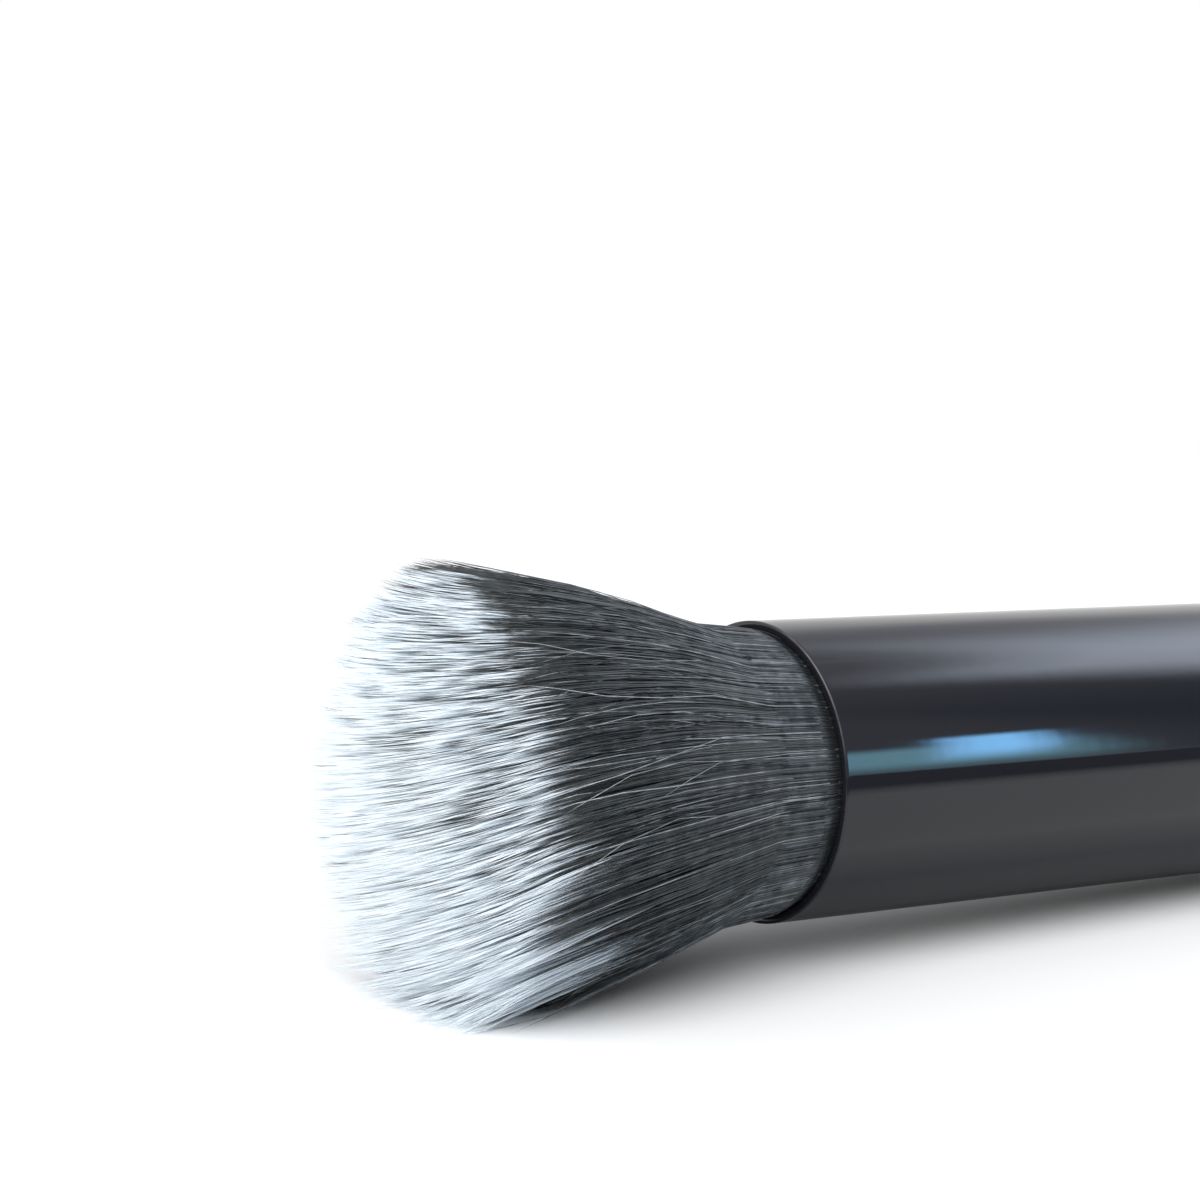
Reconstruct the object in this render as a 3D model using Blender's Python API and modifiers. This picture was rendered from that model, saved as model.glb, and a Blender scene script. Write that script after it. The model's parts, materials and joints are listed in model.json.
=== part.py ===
"""Powder stippling brush: a turned handle, a drawn ferrule, a flared mouth collar and fibres of two lengths.

The brush is modelled upright under one empty, with the butt of the handle at z = 0 and the fibre tips up.
The empty then lays it on its side, as it lies on a table: on its fibres at one end and on the fuller end
of its handle at the other. Metres, +Z up. A reach is measured from the ferrule's rim towards the tips.
"""

import math

import bmesh
import bpy

# Gap between pieces that touch on the real brush
FIT = 0.0003

# Handle: turned wood, fuller near the butt, with a tenon that fills the ferrule's tail
HANDLE_LENGTH = 0.096
HANDLE_END_RADIUS = 0.0066
HANDLE_END_HEIGHT = 0.015
HANDLE_WAIST_RADIUS = 0.0058
HANDLE_WAIST_HEIGHT = 0.048
BUTT_FLAT_RADIUS = 0.0034
TENON_LENGTH = 0.014
TENON_CHAMFER = 0.0008

# Ferrule: drawn aluminium tube, crimped onto the tenon
FERRULE_LENGTH = 0.046
FERRULE_MOUTH_RADIUS = 0.0079
FERRULE_TAIL_RADIUS = 0.00815
FERRULE_WALL = 0.0005
CRIMP_COUNT = 2
CRIMP_DEPTH = 0.0004
CRIMP_WIDTH = 0.0018
CRIMP_PITCH = 0.0034
CRIMP_INSET = 0.0036
EDGE_BREAK = 0.0001

# Mouth collar: a glossy ring in the ferrule's mouth that flares with the fibres
COLLAR_REACH = 0.0034
COLLAR_SKIRT = 0.005
COLLAR_BEAD = 0.00025
COLLAR_BEAD_REACH = 0.0006
COLLAR_FLARE = 0.00045
COLLAR_WALL = 0.0004

# Knot: the fibre roots, set in two interlocking slices of resin inside a thread binding
KNOT_DEPTH = 0.008
THREAD_DIAMETER = 0.0008
BINDING_TURNS = 4
DARK_SLICE_SHARE = 0.5
SLICE_RING_WIDTH = 0.0009
PLUG_LENGTH = 0.006

# Fibres: rows of strands in the knot, every other row the long pale ones
ROW_PITCH = 0.00062
STRAND_PITCH = 0.00049
RING_STRANDS = 68
SLOT_GAP = 0.0002
STRAND_RADIUS = 0.00028
STRAND_SWAY = 0.00012
MID_REACH = 0.010
MID_RADIUS = 0.0096
BELLY_REACH = 0.0165
BELLY_RADIUS = 0.0109
DARK_REACH = 0.0162
DARK_SLANT = 0.0016
DARK_RAGGED = 0.0026
TIP_REACH = 0.0241
TIP_DOME = 0.0046
TIP_RAGGED = 0.0012
REST_FLAT_DEPTH = 0.0007

# Facets round a turned piece
TURN_STEPS = 40
GOLDEN = (math.sqrt(5) - 1) / 2

RIM = HANDLE_LENGTH + FIT + FERRULE_LENGTH
TAIL = HANDLE_LENGTH + FIT
KNOT_TOP = RIM - KNOT_DEPTH
KNOT_HEIGHT = BINDING_TURNS * THREAD_DIAMETER
KNOT_BOTTOM = KNOT_TOP - KNOT_HEIGHT
SLICE_SPLIT = KNOT_TOP - DARK_SLICE_SHARE * KNOT_HEIGHT


def blend(start, end, t):
    """A value that leaves start and reaches end with no slope, for t from 0 to 1."""
    return start + (end - start) * (1 - math.cos(math.pi * t)) / 2


def crimp_heights():
    return [TAIL + CRIMP_INSET + i * CRIMP_PITCH for i in range(CRIMP_COUNT)]


def ferrule_radius(z):
    """The ferrule's outer radius: a slight taper, dented inwards at each crimp."""
    radius = FERRULE_TAIL_RADIUS + (FERRULE_MOUTH_RADIUS - FERRULE_TAIL_RADIUS) * (z - TAIL) / FERRULE_LENGTH
    for height in crimp_heights():
        off = abs(z - height) / (CRIMP_WIDTH / 2)
        if off < 1:
            radius -= CRIMP_DEPTH * (1 + math.cos(math.pi * off)) / 2
    return radius


def ferrule_bore(z):
    return ferrule_radius(z) - FERRULE_WALL


def crimped_heights(bottom, top):
    """Heights from bottom to top that follow the crimps closely and the plain tube with none between."""
    inside = [
        height + CRIMP_WIDTH / 2 * step / 4
        for height in crimp_heights()
        for step in range(-4, 5)
        if bottom < height + CRIMP_WIDTH / 2 * step / 4 < top
    ]
    return [bottom, *inside, top]


def handle_outline():
    """(radius, height) of the handle from its butt to its shoulder: a rounded butt, a fuller end and a waist."""
    rounding = [math.pi / 2 * step / 8 for step in range(9)]
    points = [
        (
            BUTT_FLAT_RADIUS + (HANDLE_END_RADIUS - BUTT_FLAT_RADIUS) * math.sin(angle),
            HANDLE_END_HEIGHT * (1 - math.cos(angle)),
        )
        for angle in rounding
    ]
    stretches = (
        (HANDLE_END_HEIGHT, HANDLE_END_RADIUS, HANDLE_WAIST_HEIGHT, HANDLE_WAIST_RADIUS),
        (HANDLE_WAIST_HEIGHT, HANDLE_WAIST_RADIUS, HANDLE_LENGTH, FERRULE_TAIL_RADIUS),
    )
    for low, low_radius, high, high_radius in stretches:
        for step in range(1, 9):
            points.append((blend(low_radius, high_radius, step / 8), low + (high - low) * step / 8))
    return points


def rest_line():
    """(depth, slope): how far below the axis the table lies at the belly, and how that falls towards the butt.

    The table touches the flattened belly of the fibres and whichever point of the handle it meets first.
    """
    depth = BELLY_RADIUS - REST_FLAT_DEPTH
    belly = RIM + BELLY_REACH
    slope = min((depth - radius) / (belly - height) for radius, height in handle_outline())
    return depth, slope


def table_depth(z):
    depth, slope = rest_line()
    return depth - slope * (RIM + BELLY_REACH - z)


def material(name, colour, roughness, metallic=0.0, coat=0.0):
    made = bpy.data.materials.new(name)
    made.use_nodes = True
    shader = made.node_tree.nodes["Principled BSDF"]
    shader.inputs["Base Color"].default_value = (*colour, 1)
    shader.inputs["Roughness"].default_value = roughness
    shader.inputs["Metallic"].default_value = metallic
    shader.inputs["Coat Weight"].default_value = coat
    made.diffuse_color = (*colour, 1)
    return made


def new_object(name, mesh, collection):
    made = bpy.data.objects.new(name, mesh)
    collection.objects.link(made)
    return made


def smooth(obj, angle=math.radians(32)):
    obj.data.shade_smooth()
    obj.data.set_sharp_from_angle(angle=angle)


def apply_modifiers(obj):
    """Makes the object's evaluated shape its mesh, so that what follows sees the finished form."""
    graph = bpy.context.evaluated_depsgraph_get()
    finished = bpy.data.meshes.new_from_object(obj.evaluated_get(graph))
    obj.modifiers.clear()
    rough = obj.data
    obj.data = finished
    bpy.data.meshes.remove(rough)
    finished.name = obj.name


def turned(name, profile, closed, collection, finish):
    """A profile of (radius, height) points, running down its outer side, turned about the brush's axis."""
    mesh = bpy.data.meshes.new(name + "_profile")
    last = len(profile)
    edges = [(i, i + 1) for i in range(last - 1)]
    if closed:
        edges.append((last - 1, 0))
    mesh.from_pydata([(radius, 0, height) for radius, height in profile], edges, [])
    piece = new_object(name, mesh, collection)
    screw = piece.modifiers.new("turn", "SCREW")
    screw.axis = "Z"
    screw.steps = screw.render_steps = TURN_STEPS
    screw.use_merge_vertices = True
    screw.merge_threshold = 0.00001
    apply_modifiers(piece)
    smooth(piece)
    piece.data.materials.append(finish)
    return piece


def make_handle(collection, finish):
    """The handle and its tenon. The tenon follows the crimped bore, so its grooves take the crimps."""
    top = HANDLE_LENGTH + TENON_LENGTH
    tenon = [(ferrule_bore(z) - FIT, z) for z in crimped_heights(TAIL, top - TENON_CHAMFER)]
    end_radius = tenon[-1][0]
    profile = [(0, top), (end_radius - TENON_CHAMFER, top), *reversed(tenon)]
    profile.append((tenon[0][0], HANDLE_LENGTH))
    profile.extend(reversed(handle_outline()))
    profile.append((0, 0))
    return turned("handle", profile, False, collection, finish)


def make_ferrule(collection, finish):
    """The drawn tube: its outer side and its bore share the taper and the crimps, and the edges are broken."""
    heights = crimped_heights(TAIL + EDGE_BREAK, RIM - EDGE_BREAK)
    outer = [(ferrule_radius(z), z) for z in heights]
    bore = [(ferrule_bore(z), z) for z in heights]
    rim = [(bore[-1][0] + EDGE_BREAK, RIM), (outer[-1][0] - EDGE_BREAK, RIM)]
    tail = [(outer[0][0] - EDGE_BREAK, TAIL), (bore[0][0] + EDGE_BREAK, TAIL)]
    profile = [*reversed(outer), *tail, *bore, *rim]
    return turned("ferrule", profile, True, collection, finish)


def collar_outer(reach):
    """The collar's outer radius at a reach: straight in the bore, a bead just beyond the rim, then a gentle flare."""
    straight = ferrule_bore(RIM) - FIT
    if reach <= 0:
        return straight + (ferrule_radius(RIM + reach) - ferrule_radius(RIM))
    bead = COLLAR_BEAD * min(reach / COLLAR_BEAD_REACH, 1)
    return straight + bead + COLLAR_FLARE * (reach / COLLAR_REACH)


def collar_lip():
    """(radius, height) points over the rounded lip, from its outer side to its inner side."""
    half = COLLAR_WALL / 2
    centre_radius = collar_outer(COLLAR_REACH) - half
    centre_height = RIM + COLLAR_REACH - half
    angles = [math.pi * step / 4 for step in range(1, 4)]
    return [(centre_radius + half * math.cos(a), centre_height + half * math.sin(a)) for a in angles]


def make_collar(collection, finish):
    reaches = [-COLLAR_SKIRT, -COLLAR_SKIRT / 2, 0, COLLAR_BEAD_REACH, COLLAR_REACH / 2]
    reaches.append(COLLAR_REACH - COLLAR_WALL / 2)
    outer = [(collar_outer(reach), RIM + reach) for reach in reaches]
    inner = [(radius - COLLAR_WALL, height) for radius, height in outer]
    profile = [*reversed(outer), *inner, *reversed(collar_lip())]
    return turned("mouth_collar", profile, True, collection, finish)


def binding_outer_radius():
    return ferrule_bore(KNOT_BOTTOM) - FIT


def slice_radius():
    return binding_outer_radius() - THREAD_DIAMETER - FIT


def make_binding(collection, finish):
    """The thread wound round the knot: a band whose outer side swells at each turn."""
    radius = binding_outer_radius() - THREAD_DIAMETER / 2
    outer = [
        (
            radius + THREAD_DIAMETER / 2 * math.sin(math.pi * step / 4),
            KNOT_TOP - (turn + step / 4) * THREAD_DIAMETER,
        )
        for turn in range(BINDING_TURNS)
        for step in range(4)
    ]
    inside = binding_outer_radius() - THREAD_DIAMETER
    profile = [*outer, (radius, KNOT_BOTTOM), (inside, KNOT_BOTTOM), (inside, KNOT_TOP)]
    return turned("root_binding", profile, True, collection, finish)


def make_plug(collection, finish):
    """The resin poured behind the knot, with a slightly dished lower face."""
    top = KNOT_BOTTOM - FIT
    bottom = top - PLUG_LENGTH
    radius = ferrule_bore(bottom) - FIT
    dish = PLUG_LENGTH / 6
    profile = [(0, top), (radius, top), (radius, bottom), (radius / 2, bottom + dish * 3 / 4), (0, bottom + dish)]
    return turned("resin_plug", profile, False, collection, finish)


def ring_radius():
    """Where the outermost strands stand: midway across the dark slice's closed ring."""
    return slice_radius() - SLICE_RING_WIDTH / 2


def bar_width():
    return ROW_PITCH - SLOT_GAP


def root_radius():
    return 0.4 * bar_width()


def slot_half_width():
    return ROW_PITCH - bar_width() / 2


def row_offsets():
    """(place across the knot, is it dark) of each row. The first and the last are dark, inside the ring."""
    half = int((slice_radius() - SLICE_RING_WIDTH) / ROW_PITCH)
    return [(i * ROW_PITCH, (i + half) % 2 == 0) for i in range(-half, half + 1)]


def slot_half_length(x):
    """Half the length of the slot in the dark slice at a pale row, short of the slice's closed ring."""
    reach = slice_radius() - SLICE_RING_WIDTH
    room = reach**2 - (abs(x) + slot_half_width()) ** 2
    return math.sqrt(room) if room > 0 else 0


def root_points():
    """(x, y, is pale) of every strand's root: a ring of dark ones round staggered rows of each kind by turns."""
    points = []
    for i in range(RING_STRANDS):
        angle = math.tau * i / RING_STRANDS
        points.append((ring_radius() * math.cos(angle), ring_radius() * math.sin(angle), False))
    inside = ring_radius() - 2 * root_radius() - SLOT_GAP
    for row, (x, is_dark) in enumerate(row_offsets()):
        half = int(inside / STRAND_PITCH) + 1
        for i in range(-half, half + 1):
            y = (i + (row % 2) / 2) * STRAND_PITCH
            in_slot = abs(y) < slot_half_length(x) - SLOT_GAP - root_radius()
            if math.hypot(x, y) < inside and (is_dark or in_slot):
                points.append((x, y, not is_dark))
    return points


def fan_radius(reach):
    """The radius at which a ring strand's centre line stands at a reach: out from the lip, then along the belly."""
    lip_radius = collar_outer(COLLAR_REACH) - COLLAR_WALL - FIT - STRAND_RADIUS
    stations = (
        (COLLAR_REACH, lip_radius),
        (MID_REACH, MID_RADIUS - STRAND_RADIUS),
        (BELLY_REACH, BELLY_RADIUS - STRAND_RADIUS),
    )
    for (low, low_radius), (high, high_radius) in zip(stations, stations[1:]):
        if reach <= high:
            return low_radius + (high_radius - low_radius) * (reach - low) / (high - low)
    return stations[-1][1]


def strand_path(index, x, y, is_pale):
    """(point, radius) along one strand. It keeps its own share of the fan, so that none crosses another.

    The brush rests on its fibres, which pushes the lower dark ones back: they end short of the upper ones.
    """
    share = math.hypot(x, y) / ring_radius()
    ragged = (index * GOLDEN) % 1 - 0.5
    if is_pale:
        tip = TIP_REACH - TIP_DOME * share**2 + ragged * TIP_RAGGED
        reaches = [COLLAR_REACH, MID_REACH, BELLY_REACH, tip]
        thickness = [0.75, 1, 1, 0.3]
    else:
        slant = DARK_SLANT * x / ring_radius()
        reaches = [COLLAR_REACH, MID_REACH, DARK_REACH + slant + ragged * DARK_RAGGED]
        thickness = [0.75, 1, 0.45]
    path = [((x, y, KNOT_TOP - bar_width()), root_radius())]
    for step, (reach, thick) in enumerate(zip(reaches, thickness)):
        spread = fan_radius(reach) / ring_radius()
        sway = STRAND_SWAY * min(step, 1)
        turn = math.tau * index * GOLDEN + step
        height = RIM + reach
        radius = thick * STRAND_RADIUS
        lowest = -table_depth(height) + radius / 2
        across = max(x * spread + sway * math.cos(turn), lowest)
        path.append(((across, y * spread + sway * math.sin(turn), height), radius))
    return path


def least_strand_gap():
    """The least gap between two strands, measured between their centre lines at heights all along them."""
    least = math.inf
    paths = [strand_path(index, *root) for index, root in enumerate(root_points())]
    for reach in (0.002, COLLAR_REACH, MID_REACH, BELLY_REACH - DARK_RAGGED):
        places = []
        for path in paths:
            for (low, low_radius), (high, high_radius) in zip(path, path[1:]):
                if low[2] <= RIM + reach <= high[2]:
                    t = (RIM + reach - low[2]) / (high[2] - low[2])
                    places.append([a + (b - a) * t for a, b in zip((*low, low_radius), (*high, high_radius))])
                    break
        for i, one in enumerate(places):
            for other in places[i + 1 :]:
                apart = math.hypot(one[0] - other[0], one[1] - other[1])
                least = min(least, apart - one[3] - other[3])
    return least


def strands(name, is_pale, collection):
    """Every strand of one kind as one mesh: three-sided tubes that taper to their tips and rest flat on the table."""
    section = bpy.data.curves.new(name + "_section", "CURVE")
    triangle = section.splines.new("POLY")
    triangle.points.add(2)
    triangle.use_cyclic_u = True
    for i, point in enumerate(triangle.points):
        angle = math.tau * i / 3
        point.co = (math.cos(angle), math.sin(angle), 0, 1)
    section_object = new_object(name + "_section", section, collection)

    curve = bpy.data.curves.new(name + "_paths", "CURVE")
    curve.dimensions = "3D"
    curve.bevel_mode = "OBJECT"
    curve.bevel_object = section_object
    curve.use_fill_caps = True
    for index, (x, y, pale) in enumerate(root_points()):
        if pale != is_pale:
            continue
        path = strand_path(index, x, y, pale)
        spline = curve.splines.new("POLY")
        spline.points.add(len(path) - 1)
        for point, (place, radius) in zip(spline.points, path):
            point.co = (*place, 1)
            point.radius = radius
    curve_object = new_object(name + "_paths", curve, collection)

    graph = bpy.context.evaluated_depsgraph_get()
    mesh = bpy.data.meshes.new_from_object(curve_object.evaluated_get(graph))
    bpy.data.objects.remove(curve_object)
    bpy.data.objects.remove(section_object)
    shape = bmesh.new()
    shape.from_mesh(mesh)
    bmesh.ops.remove_doubles(shape, verts=shape.verts, dist=0.000001)
    bmesh.ops.recalc_face_normals(shape, faces=shape.faces)
    for vertex in shape.verts:
        vertex.co.x = max(vertex.co.x, -table_depth(vertex.co.z))
    shape.to_mesh(mesh)
    shape.free()
    tool = new_object(name + "_strands", mesh, collection)
    tool.hide_render = True
    tool.display_type = "WIRE"
    return tool


def boxes(name, sizes, collection):
    """Upright boxes as one cutter or tool mesh, each given as (centre, full sizes)."""
    shape = bmesh.new()
    for centre, size in sizes:
        box = bmesh.ops.create_cube(shape, size=1)["verts"]
        bmesh.ops.scale(shape, vec=size, verts=box)
        bmesh.ops.translate(shape, vec=centre, verts=box)
    mesh = bpy.data.meshes.new(name)
    shape.to_mesh(mesh)
    shape.free()
    tool = new_object(name, mesh, collection)
    tool.hide_render = True
    tool.display_type = "WIRE"
    return tool


def combine(obj, tool, operation):
    modifier = obj.modifiers.new(tool.name, "BOOLEAN")
    modifier.operation = operation
    modifier.solver = "EXACT"
    modifier.object = tool


def disc(name, bottom, top, collection, finish):
    radius = slice_radius()
    profile = [(0, top), (radius, top), (radius, bottom), (0, bottom)]
    return turned(name, profile, False, collection, finish)


def make_dark_fibres(parts, tools, finish):
    """The short dark strands on their slice of resin, slotted so that the pale rows pass through it."""
    bottom = SLICE_SPLIT + FIT / 2
    piece = disc("dark_fibres", bottom, KNOT_TOP, parts, finish)
    height = KNOT_TOP - bottom
    slots = [
        ((x, 0, bottom + height / 2), (2 * slot_half_width(), 2 * slot_half_length(x), 2 * height))
        for x, is_dark in row_offsets()
        if not is_dark and slot_half_length(x) > 0
    ]
    combine(piece, boxes("dark_slice_slots", slots, tools), "DIFFERENCE")
    combine(piece, strands("dark", False, tools), "UNION")
    apply_modifiers(piece)
    return piece


def make_pale_fibres(parts, tools, finish):
    """The long pale strands on their slice, which lies below the dark one and rises through its slots."""
    top = SLICE_SPLIT - FIT / 2
    piece = disc("pale_fibres", KNOT_BOTTOM, top, parts, finish)
    sunk = (top - KNOT_BOTTOM) / 2
    height = KNOT_TOP - top + sunk
    bars = [
        ((x, 0, KNOT_TOP - height / 2), (bar_width(), 2 * (slot_half_length(x) - SLOT_GAP), height))
        for x, is_dark in row_offsets()
        if not is_dark and slot_half_length(x) > SLOT_GAP
    ]
    combine(piece, boxes("pale_slice_bars", bars, tools), "UNION")
    combine(piece, strands("pale", True, tools), "UNION")
    apply_modifiers(piece)
    return piece


def lay_on_table(parts):
    """Parents every part to an empty that lays the brush down, head towards -X, and centres it on the table."""
    axis = bpy.data.objects.new("brush_axis", None)
    parts.objects.link(axis)
    axis.empty_display_size = 0.02
    for piece in parts.objects:
        if piece.type == "MESH":
            piece.parent = axis
    _, slope = rest_line()
    tilt = math.atan(slope)
    axis.rotation_euler = (0, tilt - math.pi / 2, 0)
    bpy.context.view_layer.update()
    places = [
        piece.matrix_world @ vertex.co
        for piece in parts.objects
        if piece.type == "MESH"
        for vertex in piece.data.vertices
    ]
    ends = [place.x for place in places]
    axis.location.x = -(min(ends) + max(ends)) / 2
    axis.location.z = -min(place.z for place in places)
    bpy.context.view_layer.update()
    return axis


def main():
    for obj in list(bpy.data.objects):
        bpy.data.objects.remove(obj)
    scene = bpy.context.scene
    scene.unit_settings.system = "METRIC"
    parts = bpy.data.collections.new("stippling_brush")
    tools = bpy.data.collections.new("cutters")
    scene.collection.children.link(parts)
    scene.collection.children.link(tools)

    make_handle(parts, material("handle_lacquer", (0.012, 0.012, 0.013), 0.12, coat=1.0))
    make_ferrule(parts, material("ferrule_lacquer", (0.010, 0.011, 0.013), 0.08, metallic=0.6, coat=1.0))
    make_collar(parts, material("collar_gloss", (0.012, 0.014, 0.015), 0.1, coat=0.6))
    make_dark_fibres(parts, tools, material("dark_fibre", (0.035, 0.042, 0.046), 0.5))
    make_pale_fibres(parts, tools, material("pale_fibre", (0.80, 0.87, 0.93), 0.45))
    make_binding(parts, material("thread", (0.55, 0.52, 0.45), 0.8))
    make_plug(parts, material("resin", (0.50, 0.38, 0.20), 0.35))

    axis = lay_on_table(parts)
    roots = root_points()
    pale = sum(1 for root in roots if root[2])
    print(f"{len(roots)} strands: {len(roots) - pale} dark, {pale} pale")
    print(f"least gap between strands: {1000 * least_strand_gap():.3f} mm")
    print("butt centre", [round(value, 6) for value in axis.matrix_world.translation])
    print("butt normal", [round(-value, 6) for value in axis.matrix_world.col[2].xyz])


main()
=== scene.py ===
"""Powder stippling brush: the looks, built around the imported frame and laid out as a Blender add-on.

Shapes are worked out in the brush's own directions and then placed in the world. A reach runs along the
brush's axis from the ferrule's rim towards the fibre tips, a side runs towards the photographed side of the
brush, and a rise runs up from the axis. Lengths are metres.
"""

import json
import math

import bpy
import numpy as np
from bpy.props import FloatProperty, FloatVectorProperty, IntProperty, PointerProperty
from mathutils import Matrix, Vector


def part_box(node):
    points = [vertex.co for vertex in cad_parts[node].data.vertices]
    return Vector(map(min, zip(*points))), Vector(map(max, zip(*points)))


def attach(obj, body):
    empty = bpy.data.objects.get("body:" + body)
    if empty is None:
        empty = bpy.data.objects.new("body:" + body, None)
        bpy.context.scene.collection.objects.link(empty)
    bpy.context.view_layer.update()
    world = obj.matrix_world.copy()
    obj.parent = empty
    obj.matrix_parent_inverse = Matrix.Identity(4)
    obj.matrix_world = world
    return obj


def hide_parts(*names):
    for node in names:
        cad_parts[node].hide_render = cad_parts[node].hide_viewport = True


bl_info = {
    "name": "Powder stippling brush",
    "version": (1, 0, 0),
    "blender": (4, 5, 0),
    "location": "3D View > Sidebar > Stippling brush",
    "description": "Lacquered handle and ferrule, and a head of dark and pale fibres",
    "category": "Add Mesh",
}

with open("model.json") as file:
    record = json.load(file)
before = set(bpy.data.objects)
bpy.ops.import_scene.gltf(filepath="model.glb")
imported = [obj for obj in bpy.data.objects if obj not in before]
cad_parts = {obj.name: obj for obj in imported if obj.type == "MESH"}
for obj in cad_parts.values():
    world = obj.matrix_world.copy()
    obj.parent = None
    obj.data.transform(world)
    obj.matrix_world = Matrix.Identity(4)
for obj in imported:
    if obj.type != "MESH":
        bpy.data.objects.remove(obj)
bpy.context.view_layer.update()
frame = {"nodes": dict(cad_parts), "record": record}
BODY = "root"

BUTT = np.array(frame["record"]["mounts"][0]["pos_m"])
TO_TIPS = -np.array(frame["record"]["mounts"][0]["axis"])
TO_SIDE = np.array([0.0, -1.0, 0.0])
TO_RISE = np.cross(TO_TIPS, TO_SIDE)
GOLDEN_ANGLE = math.pi * (3 - math.sqrt(5))
MM = 0.001

# Turned pieces: corners round the axis
HANDLE_STEPS = 256
FERRULE_STEPS = 320
COLLAR_STEPS = 2200
SLICE_STEPS = 96
# The tenon's chamfer, the rounding of the ferrule's edges, and the stretch of it that holds the crimps
TENON_CHAMFER = 0.0008
FERRULE_EDGE = 0.00012
CRIMPED_STRETCH = 0.010
# The last rows of corners behind the ferrule's rim
RIM_ROWS = (0.0004, 0.0002)
# The stretch of the rim worn to bare metal, kept to its upper side where it also paints the rim's highlight,
# in radians round the axis: its middle, its fade, and its half width in fades
WEAR_AND_HIGHLIGHT_AT = 0.75
WEAR_AND_HIGHLIGHT_FADE = 0.36
WEAR_AND_HIGHLIGHT_SPAN = 1.6
# The collar's lip: half its thickness, how uneven it is, and the waves round it
LIP_HALF = 0.00003
LIP_UNEVEN = 0.00007
LIP_WAVES = (3, 7, 16, 41, 83, 170)
# How many waves make the fine lines under the collar's gloss
LINE_WAVES = 22
# The root slices: their radius, and the gap at each face
SLICE_RADIUS = 0.0059
SLICE_GAP = 0.00015

# Where a fibre's corners stand: reaches behind or over the collar, and then shares of what stands out of it
BOUND_START = (-0.0015, 0.0003, 0.0010, 0.0022, 0.0034)
BEHIND_LIP = 0.001
PAST_LIP = 0.0006
PALE_STATIONS = (0, 0.25, 0.48, 0.70, 0.88, 1)
DARK_STATIONS = (0, 0.30, 0.58, 0.84, 1)
NEEDLE_STATIONS = (0, 0.42, 0.78, 1)

# How a fibre runs: from the lip to full grip, its pull, the scale of its waves, and how far it leaves the fan
GRIP_REACH = 0.018
LOCK_PULL = 0.45
WAVE_SCALE = 0.0026
FAN_SLACK = 0.00015
# The table spreads fibres under this height, and fully from this reach on, and they lie this far above it
TABLE_HEIGHT = 0.0025
TABLE_REACH = 0.015
TABLE_GAP = 0.00002
# The reach that the fibres' materials count as one, and the dark fibres in one lock of needles
TONE_REACH = 0.025
NEEDLES_EACH = 10

# What a bound fibre adds to the collar's radius, by reach, and how far past the lip it is back in the fan
BOUND_DEPTH = ((-0.001, -0.0003), (0.0003, -0.00008), (0.0010, 0), (0.003, 0.00002))
BACK_IN_FAN = 0.0016
# The fan: millimetres beyond the rim, and the outermost fibre's distance from the axis there
FAN_STATIONS = (
    (-8, 5.9), (-0.5, 6.6), (2.4, 7.50), (3.4, 7.78), (4.2, 7.94), (5.2, 8.17), (6.4, 8.52), (8, 9.03),
    (11.4, 9.85), (14.8, 10.5), (17.5, 11.0), (21, 11.6), (25, 12.2),
)
# Where the dark fibres end: degrees round the axis, millimetres past their reach, and millimetres uneven
DARK_ENDS = (
    (-90, -2.6, 1.6), (-75, -3.4, 1.8), (-60, -5.6, 2.2), (-45, -5.0, 2.2), (-30, -3.4, 2.2),
    (-15, -1.7, 2.3), (0, -0.8, 2.6), (15, -0.3, 2.9), (30, 0.8, 3.2), (45, 2.2, 3.4), (60, 2.9, 3.2),
    (75, 2.6, 2.6), (90, 1.2, 2.2), (120, 0.6, 2.0), (180, -0.2, 2.0), (225, -1.0, 2.0),
)
# Waves of that edge round the axis, each with its phase in radians
TONGUES = ((19, 1), (31, 2), (47, 4))
# The share of the needles that is kept, by their share of the fan's radius and by degrees round the axis
NEEDLES_ACROSS = ((0.15, 0.14), (0.6, 0.28), (0.85, 0.42), (1.0, 0.95))
NEEDLES_ROUND = (
    (-100, 0.4), (-70, 0.1), (-40, 0.14), (-15, 0.45), (10, 1.1), (30, 1.3), (75, 1.2), (130, 0.35),
)
# How much more the outer pale locks lean outward, by degrees round the axis
PALE_LEAN_ROUND = ((-80, 0.5), (-60, 1.3), (-20, 1.2), (10, 1))
PALE_LEAN_LIMIT = 0.09
# Each pale piece, the ring of the fan that it fills and how far its locks lean outward
PALE_RINGS = (
    ("pale_mantle", 0.76, 0.95, 0.04), ("pale_middle", 0.50, 0.77, 0.0), ("pale_core", 0.0, 0.52, 0.0),
)

# What reflections see of the floor, painted into its colour: where a dark room is painted in front of the
# brush, and the painted shade beside its middle line
FLOOR_FRONT = (-0.066, -0.040)
FLOOR_SHADE = (0.0065, 0.0115)
# Lamps: name, azimuth, height, strength and angle, in degrees
SUN_COLOUR = (0.99, 0.995, 1.0)
SUNS = (("key_light", -50, 40, 3.0, 55), ("left_light", -95, 25, 1.3, 60))
# Cards: name, azimuths, heights, soft widths at their ends, distance, lean, colour and strength
CARDS = (
    ("ceiling", (45, 140), (20, 80), (20, 10, 12, 1), 1.56, 0.0, (0.64, 0.65, 0.71), 1.0),
    ("room", (-70, 75), (-2, 60), (12, 16, 1, 16), 1.54, 0.0, (0.40, 0.43, 0.47), 1.0),
    ("dark_side", (43, 75), (-2, 52), (8, 10, 1, 30), 1.52, 0.0, (0.11, 0.15, 0.18), 1.0),
    ("soft_panel", (62, 128), (15, 51.4), (18, 42, 5, 7), 1.50, 0.0, (0.82, 0.92, 1.08), 3.8),
    ("window_edge", (31, 45.8), (-2.0, 15.5), (3, 4.5, 8.5, 4.5), 1.48, 0.0, (0.36, 0.78, 1.0), 5.5),
    ("window", (39.3, 44.0), (2.0, 18.5), (1.3, 2.2, 8.5, 2.5), 1.46, 0.2, (0.23, 0.57, 1.0), 19.5),
)


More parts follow.
